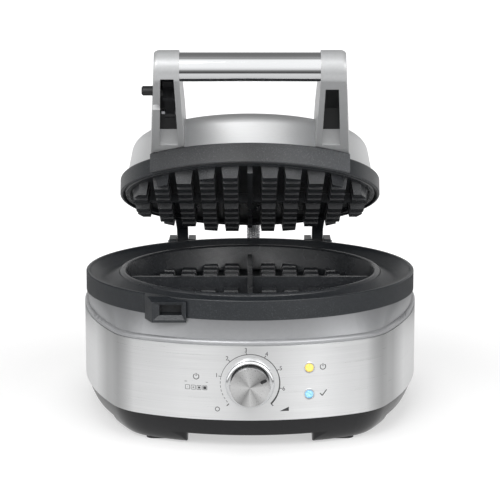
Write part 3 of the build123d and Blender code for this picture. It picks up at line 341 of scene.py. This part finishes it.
# Handle band material: real grain with painted reflections.
band_grain_and_painted_reflections = grained_band_with_painted_reflections()
ink = grained("ink", (0.030, 0.030, 0.032), (0.040, 0.040, 0.042), 0.6, 500.0, 0.02)

for part in frame["record"]["subparts"]:
    mesh = nodes[part["node"]].data
    mesh.materials.clear()
    mesh.materials.append(band_grain_and_painted_reflections if part["node"] == "handle_band" else finishes[part["material_slot"]])


# ---------------------------------------------------------------- printed scale and signs
front_arc_radius = 174 * MM
front_arc_y = 39 * MM


def on_front(x, z, lift):
    """Point on the curved steel front, lifted off it."""
    reach = front_arc_radius + lift
    return (x, front_arc_y - sqrt(reach * reach - x * x), z)


def around_point(centre, reach, angle):
    """Point at reach from centre, angle degrees clockwise from the top."""
    return (centre[0] + reach * sin(radians(angle)), centre[1] + reach * cos(radians(angle)))


class Print:
    """Flat ink shapes on the steel front, in millimetres across and up."""

    def __init__(self):
        self.faces = []

    def polygon(self, points):
        """One flat face."""
        self.faces.append([(x * MM, z * MM) for x, z in points])

    def stroke(self, start, end, width):
        """A straight bar from start to end."""
        length = hypot(end[0] - start[0], end[1] - start[1])
        nx = -(end[1] - start[1]) / length * width / 2
        nz = (end[0] - start[0]) / length * width / 2
        self.polygon([
            (start[0] + nx, start[1] + nz), (start[0] - nx, start[1] - nz),
            (end[0] - nx, end[1] - nz), (end[0] + nx, end[1] + nz),
        ])

    def arc(self, centre, radius, start, end, width, end_width=None):
        """Arc clockwise from start to end in degrees from the top, its width growing to end_width."""
        degrees_a_step = 4
        steps = max(2, int(abs(end - start) / degrees_a_step))
        growth = (end_width or width) - width
        for k in range(steps):
            corners = []
            for place, sign in ((k, 1), (k, -1), (k + 1, -1), (k + 1, 1)):
                share = place / steps
                reach = radius + sign * (width + growth * share) / 2
                corners.append(around_point(centre, reach, start + (end - start) * share))
            self.polygon(corners)

    def number(self, digit, centre, size):
        """A digit centred at centre, turned into faces."""
        curve = bpy.data.curves.new("digit", "FONT")
        curve.body = digit
        curve.size = size * MM
        curve.align_x = "CENTER"
        curve.align_y = "CENTER"
        text = bpy.data.objects.new("digit", curve)
        scene.collection.objects.link(text)
        bpy.context.view_layer.update()
        evaluated = text.evaluated_get(bpy.context.evaluated_depsgraph_get())
        flat = bpy.data.meshes.new_from_object(evaluated)
        for face in flat.polygons:
            corners = [flat.vertices[i].co for i in face.vertices]
            self.faces.append([(centre[0] * MM + c.x, centre[1] * MM + c.y) for c in corners])
        bpy.data.objects.remove(text)
        bpy.data.curves.remove(curve)
        bpy.data.meshes.remove(flat)

    def power_sign(self, centre, radius=2.1, width=0.55):
        """An open ring with a bar in its gap."""
        self.arc(centre, radius, 32, 328, width)
        self.stroke((centre[0], centre[1] + radius * 0.15), (centre[0], centre[1] + radius * 1.25), width)

    def square(self, centre, half, width):
        """A square outline of thin strokes whose ends just meet."""
        x, z = centre
        for side in (-half, half):
            self.stroke((x + side, z - half), (x + side, z + half), width)
            self.stroke((x - half, z + side), (x + half, z + side), width)

    def build(self, name, lift):
        """One piece of every shape, on the base."""
        points, faces = [], []
        for face in self.faces:
            first = len(points)
            points += [on_front(x, z, lift) for x, z in face]
            faces.append(list(range(first, len(points))))
        mesh = bpy.data.meshes.new(name)
        mesh.from_pydata(points, [], faces)
        mesh.validate()
        piece = bpy.data.objects.new(name, mesh)
        scene.collection.objects.link(piece)
        mesh.materials.append(ink)
        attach(piece, "base")


def dial_scale(marks):
    """Dotted, then solid and thickening arc with numbered ticks, all in millimetres and degrees."""
    centre = (0.0, dial_height / MM)
    radius = 22.6
    off, full = -135.0, 135.0
    stations = {"1": -77.0, "2": -42.0, "3": -7.0, "4": 29.0, "5": 64.0, "6": 100.0}
    thin, middle, thick = 0.35, 0.6, 1.3
    dash, dash_pitch = 4.5, 8
    for k in range(7):
        start = off + 4 + dash_pitch * k
        marks.arc(centre, radius, start, start + dash, thin)
    marks.arc(centre, radius, stations["1"], stations["5"], thin, middle)
    marks.arc(centre, radius, stations["5"], full, middle, thick)
    for digit, angle in stations.items():
        tick = (around_point(centre, radius - 0.2, angle), around_point(centre, radius + 2.0, angle))
        marks.stroke(*tick, 0.45)
        marks.number(digit, around_point(centre, 26.0, angle), 4.6)
    for angle in (off, full):
        marks.stroke(around_point(centre, radius, angle), around_point(centre, 25.0, angle), 0.7)


def dial_end_signs(marks):
    """Off is an open ring, the strongest setting a rising wedge."""
    marks.arc((-24.8, 32.6), 1.6, 0, 360, 0.5)
    marks.polygon([(22.6, 31.0), (29.6, 31.0), (29.6, 34.2)])


def browning_signs(marks):
    """Power over browning: the power sign, a rule, and squares that fill up."""
    marks.power_sign((-41.0, 57.4))
    marks.stroke((-50.0, 53.2), (-32.0, 53.2), 0.3)
    for k, filled in enumerate((0.35, 0.9, 1.5, 2.2)):
        x, z = -47.6 + 4.4 * k, 48.8
        marks.square((x, z), 1.6, 0.3)
        marks.stroke((x, z - filled / 2), (x, z + filled / 2), filled)


def lamp_signs(marks):
    """A power sign by the upper lamp and a check mark by the lower one."""
    marks.power_sign((55.6, 64.0))
    marks.stroke((53.4, 43.4), (55.2, 41.4), 0.7)
    marks.stroke((55.2, 41.4), (58.6, 45.8), 0.7)


marks = Print()
dial_scale(marks)
dial_end_signs(marks)
browning_signs(marks)
lamp_signs(marks)
marks.build("printed_marks", 0.08 * MM)


# ---------------------------------------------------------------- braided conduit
conduit_x, conduit_y = 3.0 * MM, 149.0 * MM
conduit_start_height = 107 * MM
# Where the conduit enters the lid, given for the closed lid.
lid_entry_y, lid_entry_height = 115 * MM, 126.5 * MM
bend_radius = 17 * MM
braid_radius = 5.55 * MM
strand_height = 0.3 * MM
carriers = 8
braid_pitch = 26 * MM
braid_sides = 96
lid_opening = radians(22.6)
hinge = Vector(joints["lid_hinge"]["pos_m"])


def opened(y, z):
    """Where a point of the closed lid stands at rest."""
    dy, dz = y - hinge.y, z - hinge.z
    return Vector((
        conduit_x,
        hinge.y + dy * cos(lid_opening) + dz * sin(lid_opening),
        hinge.z - dy * sin(lid_opening) + dz * cos(lid_opening),
    ))


def conduit_path(start, end, into_lid):
    """Points and directions: straight up from the deck, one round bend, straight into the lid."""
    elbow = end + into_lid * ((conduit_y - end.y) / into_lid.y)
    turn = UP.angle(into_lid)
    bend_start = elbow - UP * bend_radius * tan(turn / 2)
    centre = bend_start - Vector((0, bend_radius, 0))
    rise_steps, bend_steps, lid_steps = 24, 48, 36
    path = [(start.lerp(bend_start, k / rise_steps), UP) for k in range(rise_steps)]
    for k in range(bend_steps + 1):
        angle = turn * k / bend_steps
        outward = Vector((0, cos(angle), sin(angle)))
        path.append((centre + bend_radius * outward, Vector((0, -sin(angle), cos(angle)))))
    bend_end = path[-1][0]
    path += [(bend_end.lerp(end, k / lid_steps), into_lid) for k in range(1, lid_steps + 1)]
    return path


def braid_surface(path):
    """Tube along path with crossing strands raised on it."""
    points, faces = [], []
    travelled, last = 0.0, path[0][0]
    for place, along in path:
        travelled += (place - last).length
        last = place
        outward = ACROSS.cross(along)
        lay = 2 * pi * travelled / braid_pitch
        for k in range(braid_sides):
            angle = 2 * pi * k / braid_sides
            over = cos(carriers * (angle + lay))
            under = cos(carriers * (angle - lay))
            reach = braid_radius + strand_height * (max(over, under) + over * under)
            points.append(place + reach * (cos(angle) * ACROSS + sin(angle) * outward))
    for ring in range(len(path) - 1):
        low, high = ring * braid_sides, (ring + 1) * braid_sides
        for k in range(braid_sides):
            right = (k + 1) % braid_sides
            faces.append((low + k, low + right, high + right, high + k))
    faces.append(tuple(reversed(range(braid_sides))))
    faces.append(tuple(range(len(points) - braid_sides, len(points))))
    return points, faces


def braided_conduit():
    """The braided conduit, a bent tube between base and lid, built for the lid at rest."""
    start = Vector((conduit_x, conduit_y, conduit_start_height))
    end = opened(lid_entry_y, lid_entry_height)
    into_lid = (opened(lid_entry_y - MM, lid_entry_height) - end).normalized()
    points, faces = braid_surface(conduit_path(start, end, into_lid))
    mesh = bpy.data.meshes.new("braided_conduit")
    mesh.from_pydata(points, [], faces)
    for face in mesh.polygons:
        face.use_smooth = True
    mesh.materials.append(finishes["braid"])
    conduit = bpy.data.objects.new("braided_conduit", mesh)
    scene.collection.objects.link(conduit)
    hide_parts("lid_conduit")
    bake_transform(conduit)


braided_conduit()


# ---------------------------------------------------------------- studio
def area_light(name, place, aim, size, power, reflected=True):
    """A soft rectangular light at place, facing aim."""
    data = bpy.data.lights.new(name, "AREA")
    data.shape = "RECTANGLE"
    data.size, data.size_y = size
    data.energy = power
    light = bpy.data.objects.new(name, data)
    light.location = place
    light.visible_glossy = reflected
    light.rotation_euler = (Vector(aim) - Vector(place)).to_track_quat("-Z", "Y").to_euler()
    scene.collection.objects.link(light)


def floor_with_painted_glow():
    """White floor that glows as painted light, weaker near the object, so it is darker near the object and
    brighter further out. Reflections see a painted dark strip on it, standing in for a studio flag.
    """
    half = 6
    mesh = bpy.data.meshes.new("floor")
    corners = [(-half, -half, 0), (half, -half, 0), (half, half, 0), (-half, half, 0)]
    mesh.from_pydata(corners, [], [(0, 1, 2, 3)])
    floor = bpy.data.objects.new("floor", mesh)
    scene.collection.objects.link(floor)
    material, tree, shader = new_material("floor", (0.50, 0.50, 0.50), 0.8)
    distance = tree.nodes.new("ShaderNodeVectorMath")
    distance.operation = "LENGTH"
    tree.links.new(texture_space(tree), distance.inputs[0])
    far = math_node(tree, "DIVIDE", distance.outputs["Value"], 2.0)
    # Painted light: the floor glows, less near the object than further out.
    glow = ramp(tree, far, ((0.0, 0.50), (0.12, 0.52), (0.35, 0.80), (1.0, 0.95)))
    shader.inputs["Emission Color"].default_value = (1, 1, 1, 1)
    tree.links.new(glow, shader.inputs["Emission Strength"])
    cloud = noise(tree, texture_space(tree), 2.0)
    tree.links.new(spread(tree, cloud, 0.78, 0.82), shader.inputs["Roughness"])
    # Painted reflection for glossy rays: a dark strip standing in for a studio flag.
    reflected = tree.nodes.new("ShaderNodeEmission")
    strip = ramp(tree, far, ((0.0, 0.55), (0.19, 0.80), (0.24, 0.06), (0.31, 0.12), (0.70, 0.85), (1.0, 0.9)))
    tree.links.new(strip, reflected.inputs["Color"])
    surface = choose(
        tree, light_path(tree, "Is Glossy Ray"), shader.outputs["BSDF"], reflected.outputs["Emission"]
    )
    tree.links.new(surface, tree.nodes["Material Output"].inputs["Surface"])
    mesh.materials.append(material)


def studio_world():
    """White to the camera. Reflections see a bright front, a dimmer top and dark side flags."""
    world = bpy.data.worlds.new("studio")
    scene.world = world
    world.use_nodes = True
    sky = world.node_tree
    backdrop = sky.nodes["Background"]
    backdrop.inputs["Color"].default_value = (1, 1, 1, 1)
    direction = sky.nodes.new("ShaderNodeTexCoord")
    axes = sky.nodes.new("ShaderNodeSeparateXYZ")
    sky.links.new(direction.outputs["Generated"], axes.inputs["Vector"])
    forward = math_node(sky, "MULTIPLY", axes.outputs["Y"], -1.0)
    sideways = math_node(sky, "ABSOLUTE", axes.outputs["X"])
    # From straight in front round to straight behind.
    round_about = math_node(sky, "DIVIDE", math_node(sky, "ARCTAN2", sideways, forward), pi)
    sides = ramp(sky, round_about, (
        (0.0, 0.80), (0.10, 1.0), (0.35, 1.0), (0.50, 0.70),
        (0.54, 0.30), (0.61, 0.30), (0.68, 0.85), (1.0, 0.60),
    ))
    # From the front horizon over the top to the back horizon.
    overhead = math_node(sky, "DIVIDE", math_node(sky, "ARCTAN2", axes.outputs["Z"], forward), pi)
    heights = ramp(sky, overhead, (
        (0.0, 0.95), (0.02, 1.0), (0.33, 1.0), (0.40, 0.30),
        (0.70, 0.22), (0.86, 0.30), (0.93, 0.85), (1.0, 0.9),
    ))
    studio = sky.nodes.new("ShaderNodeBackground")
    studio.inputs["Strength"].default_value = 1.32
    sky.links.new(multiply(sky, sides, heights), studio.inputs["Color"])
    surface = choose(
        sky, light_path(sky, "Is Camera Ray"), studio.outputs["Background"], backdrop.outputs["Background"]
    )
    sky.links.new(surface, sky.nodes["World Output"].inputs["Surface"])


floor_with_painted_glow()
studio_world()
area_light("key", (-0.7, -1.9, 1.5), (0, 0, 0.15), (1.0, 1.0), 20)
area_light("fill", (1.1, -1.7, 0.9), (0, 0, 0.15), (0.9, 0.9), 9)
area_light("top", (0.0, -0.2, 2.2), (0, 0, 0.1), (1.4, 1.4), 12, reflected=False)
